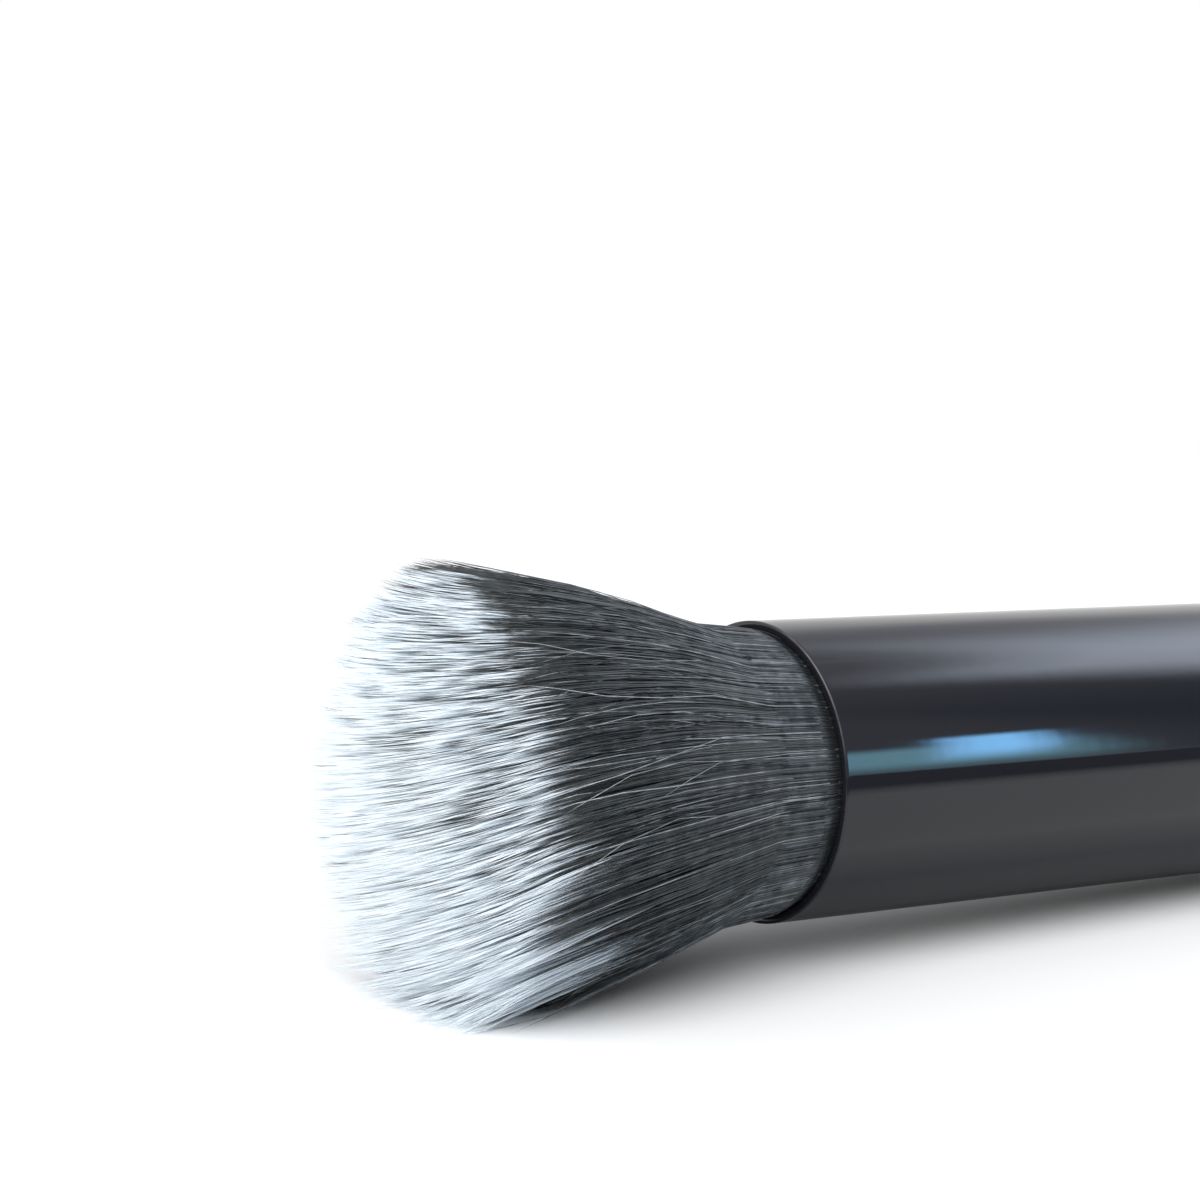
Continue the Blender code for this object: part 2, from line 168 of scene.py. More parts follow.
def metres(name, description, default, **more):
    """A length that a user can set. more holds its precision."""
    return FloatProperty(name=name, description=description, default=default, unit="LENGTH", **more)


def whole_number(name, description, default):
    """A count that a user can set."""
    return IntProperty(name=name, description=description, default=default)


def paint(name, description, default):
    """A colour that a user can set."""
    return FloatVectorProperty(name=name, description=description, default=default, subtype="COLOR", size=3)


class HandleSettings(bpy.types.PropertyGroup):
    """The turned handle."""

    length: metres("Length", "From the butt to the shoulder", 0.096)
    end_radius: metres("End radius", "Where the handle is fullest", 0.0066)
    end_height: metres("End height", "From the butt to the fullest place", 0.015)
    waist_radius: metres("Waist radius", "Where the handle is thinnest", 0.0058)
    waist_height: metres("Waist height", "From the butt to the waist", 0.048)
    flat_radius: metres("Butt radius", "The flat at the butt", 0.0034)
    tenon_length: metres("Tenon length", "What the ferrule covers", 0.014)
    colour: paint("Lacquer", "Colour of the lacquer", (0.012, 0.012, 0.013))


class FerruleSettings(bpy.types.PropertyGroup):
    """The drawn tube."""

    length: metres("Length", "From its tail to its rim", 0.046)
    mouth_radius: metres("Mouth radius", "Outer radius at the rim", 0.0079)
    tail_radius: metres("Tail radius", "Outer radius at the handle", 0.00815)
    wall: metres("Wall", "Thickness of the tube", 0.0005)
    fit: metres("Fit", "Gap to the pieces that touch it", 0.0003)
    crimp_depth: metres("Crimp depth", "How far each crimp is pressed in", 0.0004)
    crimp_width: metres("Crimp width", "Length of each crimp", 0.0018)
    crimp_pitch: metres("Crimp pitch", "From one crimp to the next", 0.0034)
    crimp_inset: metres("Crimp inset", "From the tail to the first crimp", 0.0036)
    colour: paint("Lacquer", "Colour of the lacquer", (0.011, 0.0115, 0.0155))
    # The bare metal's colour also paints the rim's highlight.
    bare_metal_and_highlight_colour: paint("Bare metal", "Colour of the worn rim", (0.17, 0.15, 0.155))


class CollarSettings(bpy.types.PropertyGroup):
    """The glossy collar in the ferrule's mouth."""

    reach: metres("Reach", "How far it stands out of the rim", 0.0034)
    skirt: metres("Skirt", "What stands inside the ferrule", 0.005)
    bead: metres("Bead", "How much it swells just beyond the rim", 0.00014)
    bead_reach: metres("Bead reach", "Where the bead is full", 0.0006)
    flare: metres("Flare", "How much wider it is at its lip", 0.0003)
    wall: metres("Wall", "Its thickness", 0.0004)
    seat: metres("Seat", "Gap between its skirt and the bore", 0.00005, precision=5)
    ridge: metres("Ridge", "How far the fibres under its gloss stand out", 0.00002, precision=6)
    streaks: whole_number("Streaks", "Pale fibres that show through its gloss", 54)
    # The colour between the fibres is dark as painted shade in the gaps between them.
    colour: paint("Colour", "Colour between the fibres", (0.012, 0.013, 0.014))
    streak_colour: paint("Streak", "Colour of the fibres under the gloss", (0.059, 0.066, 0.071))


class FibreSettings(bpy.types.PropertyGroup):
    """The head of fibres."""

    twist: FloatProperty(
        name="Twist", description="How far the fan has turned about the axis at the tips",
        default=0.22, unit="ROTATION",
    )
    splay: FloatProperty(
        name="Splay", description="How much further to the side a fibre lies on the table", default=0.30,
    )
    knot_depth: metres("Knot depth", "From the rim down to the roots", 0.008)
    dark_reach: metres("Dark reach", "How far the dark fibres reach", 0.0173)
    dark_tongues: metres("Dark tongues", "How far their edge waves in and out", 0.00045, precision=5)
    tip_reach: metres("Tip reach", "How far the middle pale fibres reach", 0.0241)
    tip_dome: metres("Tip dome", "How much shorter the outer ones are", 0.0046)
    tip_ragged: metres("Tip ragged", "How uneven the pale tips are", 0.0012)
    dark_radius: metres("Dark radius", "Half a dark fibre's thickness", 0.000042, precision=6)
    pale_radius: metres("Pale radius", "Half a pale fibre's thickness", 0.00005, precision=6)
    dark_mantle: whole_number("Dark mantle", "Dark fibres round the outside", 5200)
    dark_bound: whole_number("Bound fibres", "Dark fibres that the gloss binds to the collar's outside", 900)
    dark_needles: whole_number("Dark needles", "Places tried for dark locks among the pale fibres", 2300)
    pale_each: whole_number("Pale fibres", "Pale fibres in each of the three rings", 2600)
    lock_size: metres("Lock", "From one lock of fibres to the next", 0.0006)
    strays: whole_number("Stray fibres", "Pale fibres that lie over the dark ones", 480)
    dark_colour: paint("Dark", "Colour of the dark fibres", (0.065, 0.071, 0.073))
    pale_colour: paint("Pale", "Colour of the pale fibres", (0.78, 0.88, 0.97))


class StageSettings(bpy.types.PropertyGroup):
    """The floor, the light and the camera."""

    floor_colour: paint("Floor", "Colour of the floor", (0.80, 0.80, 0.81))
    camera_offset: FloatVectorProperty(
        name="Camera offset", description="From the rim's middle to the camera",
        subtype="TRANSLATION", size=3, default=(-0.06636, -0.09031, 0.01677), precision=5,
    )
    focal_length: FloatProperty(name="Focal length", description="The lens, in millimetres", default=64.8)


def settings(name):
    """One group of settings, as the scene holds it."""
    return getattr(bpy.context.scene, "stippling_" + name)


def rim_centre():
    """The middle of the ferrule's rim: the handle, the gap and the ferrule away from the butt."""
    handle, ferrule = settings("handle"), settings("ferrule")
    return BUTT + (handle.length + ferrule.fit + ferrule.length) * TO_TIPS


def placed(points):
    """World places of (reach, side, rise) points, on the last axis of an array of any shape."""
    return rim_centre() + points @ np.stack([TO_TIPS, TO_SIDE, TO_RISE])


def make_mesh(name, points, quads, others=()):
    """A piece from world places, an array of quads and lists of other faces."""
    mesh = bpy.data.meshes.new(name)
    corners = [np.asarray(quads, np.int32).ravel()]
    sizes = [np.full(len(quads), 4)]
    for faces in others:
        faces = np.asarray(faces, np.int32)
        corners.append(faces.ravel())
        sizes.append(np.full(len(faces), faces.shape[1]))
    corners, sizes = np.concatenate(corners), np.concatenate(sizes)
    mesh.vertices.add(len(points))
    mesh.vertices.foreach_set("co", np.asarray(points, np.float32).ravel())
    mesh.loops.add(len(corners))
    mesh.loops.foreach_set("vertex_index", corners)
    mesh.polygons.add(len(sizes))
    mesh.polygons.foreach_set("loop_start", (np.cumsum(sizes) - sizes).astype(np.int32))
    mesh.polygons.foreach_set("use_smooth", sizes <= 4)
    mesh.update(calc_edges=True)
    mesh.validate()
    piece = bpy.data.objects.new(name, mesh)
    bpy.context.scene.collection.objects.link(piece)
    return piece


def store(piece, name, values):
    """Puts one number for each vertex into the mesh under a name that its material reads."""
    layer = piece.data.attributes.new(name, "FLOAT", "POINT")
    layer.data.foreach_set("value", np.asarray(values, np.float32).ravel())


def fibre_lines(angles, reaches, rng):
    """A height for each angle and reach, about 0 and of size 1, that runs in fine lines along the brush.

    It is a sum of sine waves round the axis, from coarse to as fine as a fibre, each of which drifts round a
    little as it runs along.
    """
    waves = rng.integers(110, 620, LINE_WAVES)
    phases = rng.uniform(0, math.tau, LINE_WAVES)
    drifts = rng.normal(0, 0.5, LINE_WAVES) / MM
    each = zip(waves, phases, drifts)
    total = sum(np.sin(wave * angles[:, None] + phase + drift * reaches) for wave, phase, drift in each)
    return total / math.sqrt(LINE_WAVES / 2)


def angles_round(steps):
    """Even angles round the axis, from the photographed side upward."""
    return math.tau * np.arange(steps) / steps


def turned(name, radii, reaches, closed, steps, further=0.0, ridge=0.0):
    """A profile turned about the axis: at an angle, side = radius x cosine and rise = radius x sine.

    The profile runs towards the tips on its outer side. A closed one comes back inside, and an open one gets
    a flat cap at each end. further and ridge are added to the reach and to the radius, at each angle and
    profile point.
    """
    angles = angles_round(steps)[:, None]
    reach = np.broadcast_to(reaches + further, (steps, len(reaches)))
    radii = radii + ridge
    ring = np.stack([reach, np.cos(angles) * radii, np.sin(angles) * radii], axis=-1)
    count = len(reaches)
    index = np.arange(steps * count).reshape(steps, count)
    onward = np.roll(index, -1, axis=0)
    if closed:
        quads = np.stack([index, onward, np.roll(onward, -1, axis=1), np.roll(index, -1, axis=1)], axis=-1)
        caps = []
    else:
        quads = np.stack([index[:, :-1], onward[:, :-1], onward[:, 1:], index[:, 1:]], axis=-1)
        caps = [index[::-1, 0][None], index[:, -1][None]]
    return make_mesh(name, placed(ring.reshape(-1, 3)), quads.reshape(-1, 4), caps)


def ease(start, end, share):
    """A value that leaves start and reaches end with no slope, as half a cosine wave."""
    return start + (end - start) * (1 - np.cos(math.pi * share)) / 2


def ramp(values, start, width):
    """0 up to the start, 1 beyond the start + the width, and a straight line between them."""
    return np.clip((values - start) / width, 0, 1)


def ferrule_radius(reach):
    """The tube's outer radius: a straight taper less a raised cosine at each of the two crimps."""
    ferrule = settings("ferrule")
    behind = ferrule.length + reach
    radius = ferrule.tail_radius + (ferrule.mouth_radius - ferrule.tail_radius) * behind / ferrule.length
    for number in range(2):
        middle = ferrule.crimp_inset + number * ferrule.crimp_pitch
        off = np.clip(np.abs(behind - middle) / (ferrule.crimp_width / 2), 0, 1)
        radius = radius - ferrule.crimp_depth * (1 + np.cos(math.pi * off)) / 2
    return radius


def collar_outer(reach):
    """The collar's outer radius: the bore's less a gap, plus a bead and an even flare beyond the rim."""
    ferrule, collar = settings("ferrule"), settings("collar")
    straight = ferrule.mouth_radius - ferrule.wall - collar.seat
    beyond = np.maximum(reach, 0)
    bead = collar.bead * np.minimum(beyond / collar.bead_reach, 1)
    return straight + bead + collar.flare * beyond / collar.reach


def new_material(name):
    """A material, its node tree and its Principled BSDF."""
    made = bpy.data.materials.new(name)
    made.use_nodes = True
    return made, made.node_tree, made.node_tree.nodes["Principled BSDF"]


def add_node(tree, kind, **values):
    """A node with its settings, and its inputs set by name."""
    made = tree.nodes.new(kind)
    for name, value in values.items():
        if name in made.inputs:
            made.inputs[name].default_value = value
        else:
            setattr(made, name, value)
    return made


def noise(tree, vector, scale, detail, stretch=(1, 1, 1)):
    """Noise on a vector that is stretched first. Gives the node's grey output."""
    mapping = add_node(tree, "ShaderNodeMapping", Scale=stretch)
    texture = add_node(tree, "ShaderNodeTexNoise", Scale=scale, Detail=detail)
    tree.links.new(vector, mapping.inputs["Vector"])
    tree.links.new(mapping.outputs["Vector"], texture.inputs["Vector"])
    return texture.outputs["Fac"]


def object_place(tree):
    """The piece's own coordinates, in metres."""
    return tree.nodes.new("ShaderNodeTexCoord").outputs["Object"]


def stored(tree, name):
    """The number that store put into the mesh under a name."""
    return add_node(tree, "ShaderNodeAttribute", attribute_name=name).outputs["Fac"]


def remap(tree, value, low, high, to_low, to_high):
    """A value taken from one range to another, with no overshoot."""
    made = tree.nodes.new("ShaderNodeMapRange")
    for socket, number in zip(made.inputs[1:5], (low, high, to_low, to_high)):
        socket.default_value = number
    tree.links.new(value, made.inputs["Value"])
    return made.outputs["Result"]


def math_node(tree, operation, *values):
    """A sum, product or the like of numbers and sockets."""
    made = add_node(tree, "ShaderNodeMath", operation=operation)
    for socket, value in zip(made.inputs, values):
        if isinstance(value, (int, float)):
            socket.default_value = value
        else:
            tree.links.new(value, socket)
    return made.outputs["Value"]


def mix_colour(tree, factor, first, second):
    """Two colours or colour sockets mixed by a mask."""
    made = add_node(tree, "ShaderNodeMix", data_type="RGBA")
    tree.links.new(factor, made.inputs["Factor"])
    for socket, colour in zip((made.inputs[6], made.inputs[7]), (first, second)):
        if isinstance(colour, bpy.types.NodeSocket):
            tree.links.new(colour, socket)
        else:
            socket.default_value = (*colour, 1)
    return made.outputs[2]


def new_group(name, inputs, outputs):
    """A shader node group with named sockets. Inputs are given as (name, kind, value)."""
    tree = bpy.data.node_groups.new(name, "ShaderNodeTree")
    for label, kind, value in inputs:
        socket = tree.interface.new_socket(label, in_out="INPUT", socket_type=kind)
        socket.default_value = value
    for label, kind in outputs:
        tree.interface.new_socket(label, in_out="OUTPUT", socket_type=kind)
    return tree, tree.nodes.new("NodeGroupInput").outputs, tree.nodes.new("NodeGroupOutput").inputs


def mix_shaders(tree, mask, first, second, output_kind):
    """Mixes two shaders by a mask and puts them out at the surface of a material or world."""
    mix, output = tree.nodes.new("ShaderNodeMixShader"), tree.nodes.new(output_kind)
    for socket, value in zip(mix.inputs, (mask, first.outputs[0], second.outputs[0])):
        tree.links.new(value, socket)
    tree.links.new(mix.outputs[0], output.inputs["Surface"])


def seen_mask(tree):
    """What the camera, reflections and glass see, as a mask, and what reflections alone see."""
    seen = tree.nodes.new("ShaderNodeLightPath").outputs
    glossy = seen["Is Glossy Ray"]
    mask = math_node(tree, "MAXIMUM", seen["Is Camera Ray"], glossy)
    return math_node(tree, "MAXIMUM", mask, seen["Is Transmission Ray"]), glossy


def group_in(tree, group, **values):
    """A node group placed in a material with values of its own."""
    made = tree.nodes.new("ShaderNodeGroup")
    made.node_tree = group
    for name, value in values.items():
        made.inputs[name].default_value = value
    return made


def polish_group():
    """Handled gloss: smudges that dull it, fine scratches along the brush, and an orange-peel height."""
    if "handled_polish" in bpy.data.node_groups:
        return bpy.data.node_groups["handled_polish"]
    number = "NodeSocketFloat"
    tree, given, out = new_group(
        "handled_polish",
        [("Polish", number, 0.06), ("Smudge", number, 0.08), ("Scratch", number, 0.15)],
        [("Roughness", number), ("Height", number)],
    )
    place = object_place(tree)
    smudges = remap(tree, noise(tree, place, 140, 4), 0.48, 0.75, 0, 1)
    scratches = remap(tree, noise(tree, place, 900, 2, (0.04, 1, 1)), 0.66, 0.74, 0, 1)
    dulled = math_node(tree, "MULTIPLY", smudges, given["Smudge"])
    scored = math_node(tree, "MULTIPLY", scratches, given["Scratch"])
    rough = math_node(tree, "ADD", math_node(tree, "ADD", given["Polish"], dulled), scored)
    tree.links.new(rough, out["Roughness"])
    tree.links.new(noise(tree, place, 700, 1), out["Height"])
    return tree


def strand_group():
    """A fibre's colour and dulling: from root colour to tip colour by its reach, and its own by its tone."""
    if "fibre_tone" in bpy.data.node_groups:
        return bpy.data.node_groups["fibre_tone"]
    colour, number = "NodeSocketColor", "NodeSocketFloat"
    tree, given, out = new_group(
        "fibre_tone",
        [("Root", colour, (0.5, 0.5, 0.5, 1)), ("Tip", colour, (1, 1, 1, 1)), ("Spread", number, 0.3)],
        [("Color", colour), ("Roughness", number)],
    )
    tone = stored(tree, "tone")
    towards_tip = remap(tree, stored(tree, "reach"), 0.55, 0.95, 0, 1)
    along = mix_colour(tree, towards_tip, given["Root"], given["Tip"])
    place = object_place(tree)
    mottle = remap(tree, noise(tree, place, 1500, 2), 0.3, 0.7, -0.3, 0.3)
    offset = math_node(tree, "ADD", math_node(tree, "SUBTRACT", tone, 0.5), mottle)
    bright = math_node(tree, "ADD", math_node(tree, "MULTIPLY", offset, given["Spread"]), 1.0)
    scaled = add_node(tree, "ShaderNodeVectorMath", operation="SCALE")
    tree.links.new(along, scaled.inputs[0])
    tree.links.new(bright, scaled.inputs["Scale"])
    tree.links.new(scaled.outputs["Vector"], out["Color"])
    tree.links.new(remap(tree, tone, 0, 1, 0.32, 0.52), out["Roughness"])
    return tree


def add_finish(tree, shader, colour, roughness):
    """Feeds a colour and a roughness to a material's shader."""
    tree.links.new(colour, shader.inputs["Base Color"])
    tree.links.new(roughness, shader.inputs["Roughness"])


def add_bump(tree, shader, height, strength, distance):
    """Bends a shader's normals by a height."""
    bump = add_node(tree, "ShaderNodeBump", Strength=strength, Distance=distance)
    tree.links.new(height, bump.inputs["Height"])
    tree.links.new(bump.outputs["Normal"], shader.inputs["Normal"])


def handle_lacquer():
    """Black lacquer over turned wood: faint turning rings, smudges and fine scratches."""
    made, tree, shader = new_material("handle_lacquer")
    polish = group_in(tree, polish_group(), Polish=0.07, Smudge=0.10, Scratch=0.16)
    place = object_place(tree)
    grain = remap(tree, noise(tree, place, 60, 4, (0.15, 1, 1)), 0.35, 0.65, 0, 1)
    colour = settings("handle").colour
    paler = [1.7 * part for part in colour]
    add_finish(tree, shader, mix_colour(tree, grain, colour, paler), polish.outputs["Roughness"])
    shader.inputs["IOR"].default_value = 1.52
    shader.inputs["Coat Weight"].default_value = 0.25
    add_bump(tree, shader, polish.outputs["Height"], 0.04, 0.0001)
    return made


def ferrule_lacquer():
    """Black lacquer on drawn metal, worn through to bright metal along the rim's outer edge. The bright metal
    is partly a painted highlight.
    """
    made, tree, shader = new_material("ferrule_lacquer")
    ferrule = settings("ferrule")
    polish = group_in(tree, polish_group(), Polish=0.045, Smudge=0.05, Scratch=0.10)
    place = object_place(tree)
    patches = remap(tree, noise(tree, place, 420, 3), 0.44, 0.62, 0.1, 1)
    # The worn mask also marks where the rim's highlight is painted as bright metal.
    worn_and_highlit = math_node(tree, "MULTIPLY", stored(tree, "edge"), patches)
    rough = math_node(tree, "ADD", polish.outputs["Roughness"], math_node(tree, "MULTIPLY", worn_and_highlit, 0.25))
    add_finish(tree, shader, mix_colour(tree, worn_and_highlit, ferrule.colour, ferrule.bare_metal_and_highlight_colour), rough)
    tree.links.new(math_node(tree, "MULTIPLY", worn_and_highlit, 0.5), shader.inputs["Metallic"])
    shader.inputs["IOR"].default_value = 1.46
    add_bump(tree, shader, polish.outputs["Height"], 0.02, 0.0001)
    return made


def collar_gloss():
    """Dark fibres set in a clear gloss: fine lines of two tones, the darker being painted shade in the gaps
    between fibres, and single pale fibres as soft streaks.
    """
    made, tree, shader = new_material("collar_gloss")
    collar = settings("collar")
    polish = group_in(tree, polish_group(), Polish=0.38, Smudge=0.16, Scratch=0.0)
    place = object_place(tree)
    broken = remap(tree, noise(tree, place, 900, 2, (0.3, 1, 1)), 0.3, 0.6, 0.35, 1)
    lines = math_node(tree, "MULTIPLY", stored(tree, "fibre"), broken)
    fibres_and_painted_gaps = mix_colour(tree, lines, collar.colour, collar.streak_colour)
    single = math_node(tree, "MULTIPLY", stored(tree, "streak"), broken)
    colour = mix_colour(tree, single, fibres_and_painted_gaps, (0.22, 0.26, 0.29))
    add_finish(tree, shader, colour, polish.outputs["Roughness"])
    shader.inputs["Specular IOR Level"].default_value = 0.3
    add_bump(tree, shader, lines, 0.2, 0.00005)
    return made


def fibre_finish(name, root, tip, spread):
    """Satin synthetic filament whose colour runs from its root to its tip."""
    made, tree, shader = new_material(name)
    tone = group_in(tree, strand_group(), Root=(*root, 1), Tip=(*tip, 1), Spread=spread)
    add_finish(tree, shader, tone.outputs["Color"], tone.outputs["Roughness"])
    shader.inputs["Specular IOR Level"].default_value = 0.45
    return made


def thread_finish():
    """Undyed waxed thread: twisted strands as slanting bands."""
    made, tree, shader = new_material("binding_thread")
    place = object_place(tree)
    fuzz = noise(tree, place, 2500, 4)
    wave = add_node(tree, "ShaderNodeTexWave", bands_direction="DIAGONAL", Scale=1600.0, Distortion=2.0)
    tree.links.new(place, wave.inputs["Vector"])
    twist = math_node(tree, "ADD", wave.outputs["Fac"], math_node(tree, "MULTIPLY", fuzz, 0.5))
    bands = remap(tree, twist, 0.2, 1.2, 0, 1)
    colour = mix_colour(tree, bands, (0.30, 0.26, 0.20), (0.62, 0.58, 0.49))
    add_finish(tree, shader, colour, remap(tree, fuzz, 0.3, 0.7, 0.6, 0.9))
    add_bump(tree, shader, twist, 0.6, 0.0001)
    return made


def resin_finish(name, dark, light):
    """Cured resin: cloudy amber with small bubbles just under a glossy face."""
    made, tree, shader = new_material(name)
    place = object_place(tree)
    bubbles = add_node(tree, "ShaderNodeTexVoronoi", Scale=2200.0)
    tree.links.new(place, bubbles.inputs["Vector"])
    ring = remap(tree, bubbles.outputs["Distance"], 0.05, 0.25, 1, 0)
    cloud = remap(tree, noise(tree, place, 350, 3), 0.35, 0.65, 0, 1)
    add_finish(tree, shader, mix_colour(tree, cloud, dark, light), remap(tree, cloud, 0, 1, 0.18, 0.36))
    add_bump(tree, shader, ring, 0.3, 0.00005)
    return made


def dress(piece, material, slot, *nodes):
    """Gives a piece its finish in a new material slot, its body, and hides the CAD nodes that it stands for.
    The slot argument is not used.
    """
    piece.data.materials.append(material)
    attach(piece, BODY)
    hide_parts(*nodes)


def fan_radius(reach):
    """The outermost fibre's distance from the axis, on straight lines between the fan's stations."""
    at, radius = np.array(FAN_STATIONS).T / 1000
    return np.interp(reach, at, radius)


def over_collar(reach):
    """The fan's radius for fibres that the gloss binds to the collar's outside.

    They are sunk in the collar at the rim, come to its surface over the next millimetre, and go over to the
    fan beyond the lip, in even shares.
    """
    outside = collar_outer(reach) + np.interp(reach, *zip(*BOUND_DEPTH))
    share = ramp(reach, settings("collar").reach, BACK_IN_FAN)
    return outside + share * (np.maximum(fan_radius(reach), outside) - outside)


def fan_turn(reach):
    """The fan's turn at a reach, as a complex number: the twist x the square of the share of the way out."""
    fibres, lip = settings("fibres"), settings("collar").reach
    free = np.maximum(reach - lip, 0) / (fibres.tip_reach - lip)
    return np.exp(-1j * fibres.twist * free**2)


def spiral(count, low, high, rng):
    """Spots spread evenly over a ring from share low to share high, as a sunflower's seeds are.

    A spot is a complex number: its size is its share of the fan's radius, and its angle is round the axis.
    """
    number = np.arange(count) + 0.5
    share = np.sqrt(low**2 + (high**2 - low**2) * number / count)
    share = np.clip(share + rng.normal(0, 0.004, count), 0.001, high)
    return share * np.exp(1j * (GOLDEN_ANGLE * number + rng.uniform(0, math.tau)))


def in_locks(spots, low, high, rng):
    """For each spot, the middle of the lock it belongs to, which is the nearest, and the lock's number."""
    radius = fan_radius(settings("fibres").dark_reach)
    count = max(1, int(math.pi * (high**2 - low**2) * (radius / settings("fibres").lock_size) ** 2))
    middles = spiral(count, low, high, rng)
    parts = np.array_split(spots, 16)
    number = np.concatenate([np.abs(part[:, None] - middles).argmin(axis=1) for part in parts])
    return middles[number], number


def complex_normal(rng, size, shape):
    """Random offsets across the brush, as complex numbers whose two parts each spread by the size."""
    return size * (rng.normal(size=shape) + 1j * rng.normal(size=shape))


def tubes(name, path, thick, rng):
    """Three-sided tubes as one mesh, closed at the root and drawn to a point, and the corners of each.

    A tube's corner is its path's place + its thickness x (the cosine x one direction across the path + the
    sine x the other), at three even angles, of which each tube has its first at random.
    """
    count, rings = thick.shape
    along = np.gradient(path, axis=1)
    along /= np.linalg.norm(along, axis=-1, keepdims=True)
    first = np.cross(along, TO_RISE)
    first /= np.linalg.norm(first, axis=-1, keepdims=True)
    second = np.cross(along, first)
    turn = math.tau * (np.arange(3) / 3 + rng.random((count, 1)))[:, None, :, None]
    around = np.cos(turn) * first[:, :, None] + np.sin(turn) * second[:, :, None]
    body = path[:, :, None] + thick[:, :, None, None] * around
    points = np.concatenate([body[:, :-1].reshape(count, -1, 3), path[:, -1:]], axis=1)
    size = points.shape[1]
    ring = np.arange(3)
    onward = (ring + 1) % 3
    row = 3 * np.arange(rings - 2)[:, None]
    quads = np.stack([row + ring, row + onward, row + 3 + onward, row + 3 + ring], axis=-1).reshape(-1, 4)
    last = 3 * (rings - 2)
    ends = np.stack([last + ring, last + onward, np.full(3, size - 1)], axis=-1)
    ends = np.concatenate([ends, [[2, 1, 0]]])
    base = size * np.arange(count)[:, None, None]
    sides, ends = (base + quads).reshape(-1, 4), (base + ends).reshape(-1, 3)
    return make_mesh(name, points.reshape(-1, 3), sides, [ends]), size


def fibre_bundle(
    name, spots, middles, lean, tips, radius, stations, rng,
    stray=0.0002, tones=1.0, start=(), fan=fan_radius,
):
    """Tapered fibres as one mesh.

    A fibre's place across the fan at a reach is (its spot + grip x (pull x (its lock's middle - its spot) +
    the lock's lean)) x the fan's radius x the fan's turn, where the grip grows from nothing at the lip to one
    near the tips. To that is added a stray of its own, which grows outward and waves a little, and hardly
    leaves the fan. The first stations of a fibre are the start's reaches, or else its root and a place behind
    the lip, and the others are shares of what stands out of the collar. The radius tapers to a point. A fibre
    that comes close to the table is pushed to the side by it, and lies on it.
    """
    knot, lip = -settings("fibres").knot_depth, settings("collar").reach
    inner = np.array(start or (knot, lip - BEHIND_LIP))
    inside = np.broadcast_to(inner, (len(spots), len(inner)))
    outset = lip + PAST_LIP
    reach = np.concatenate([inside, outset + (tips[:, None] - outset) * np.asarray(stations)], axis=1)
    free = np.clip((reach - lip) / GRIP_REACH, 0, 1.3)
    grip = np.minimum(free, 1) ** 1.4
    across = spots[:, None] + grip * (LOCK_PULL * (middles - spots) + lean)[:, None]
    one_each = (len(spots), 1)
    wander = complex_normal(rng, stray, one_each) * free**1.6
    wave = complex_normal(rng, 0.35 * stray, one_each)
    wave = wave * np.sin(reach / WAVE_SCALE + rng.uniform(0, math.tau, one_each))
    across = across * fan(reach) * fan_turn(reach) + wander + wave * np.minimum(2 * free, 1)
    across *= np.minimum(1, (fan(reach) + FAN_SLACK) / np.abs(across))
    path = placed(np.stack([reach, across.real, across.imag], axis=-1))
    taper = np.interp((reach - tips[:, None]) / MM, (-8, -4, -1.2, 0), (1, 0.85, 0.5, 0))
    thick = radius * rng.uniform(0.75, 1.25, one_each) * taper
    low = np.clip(1 - path[..., 2] / TABLE_HEIGHT, 0, 1) * ramp(reach, 0, TABLE_REACH)
    path[..., 1] *= 1 + settings("fibres").splay * low**2
    path[..., 2] = np.maximum(path[..., 2], thick + TABLE_GAP)
    piece, size = tubes(name, path, thick, rng)
    places = np.concatenate([np.repeat(reach[:, :-1], 3, axis=1), reach[:, -1:]], axis=1)
    store(piece, "reach", places / TONE_REACH)
    store(piece, "tone", np.repeat(rng.random(len(spots)) ** tones, size))
    return piece


def dome_reach(spots):
    """Where a pale fibre ends: the middle reach, less the dome x the square of its share of the radius."""
    fibres = settings("fibres")
    return fibres.tip_reach - fibres.tip_dome * np.abs(spots) ** 2


def dark_level(spots):
    """Where the dark fibres end on the whole, and how uneven their ends are there.

    The level is their reach, plus what DARK_ENDS says for the angle round the axis, plus the sine waves
    of TONGUES. It stays behind the pale dome.
    """
    fibres = settings("fibres")
    angles = np.angle(spots * fan_turn(fibres.dark_reach))
    at, *columns = np.array(DARK_ENDS).T
    further, uneven = [np.interp(np.degrees(angles), at, column, period=360) / 1000 for column in columns]
    tongues = sum(np.sin(wave * angles + phase) for wave, phase in TONGUES)
    level = fibres.dark_reach + further + fibres.dark_tongues * tongues
    return np.minimum(level, dome_reach(spots) - 0.0012), uneven


def dark_locks(spots, rng):
    """For the dark fibres round the outside, the middle, lean and reach that their locks give them."""
    middles, number = in_locks(spots, 0.91, 0.99, rng)
    locks = number.max() + 1
    ragged = rng.normal(0, 0.4, locks) + np.minimum(rng.exponential(0.7, locks), 2) - 0.5
    own = rng.uniform(-0.25, 0.25, len(spots))
    level, uneven = dark_level(spots)
    tips = level + uneven * (ragged[number] + own) - pointed(spots, middles, drop=0.0012)
    lean = complex_normal(rng, size=0.010, shape=locks)[number]
    return middles, lean, np.minimum(tips, dome_reach(spots) - 0.0002)


def pointed(spots, middles, drop):
    """How much shorter a fibre is off its lock's middle: drop x 1.6 a lock size, and drop x 1.5 at most."""
    fibres = settings("fibres")
    across = np.abs(spots - middles) * fan_radius(fibres.dark_reach) / fibres.lock_size
    return drop * np.minimum(across * 1.6, 1.5)


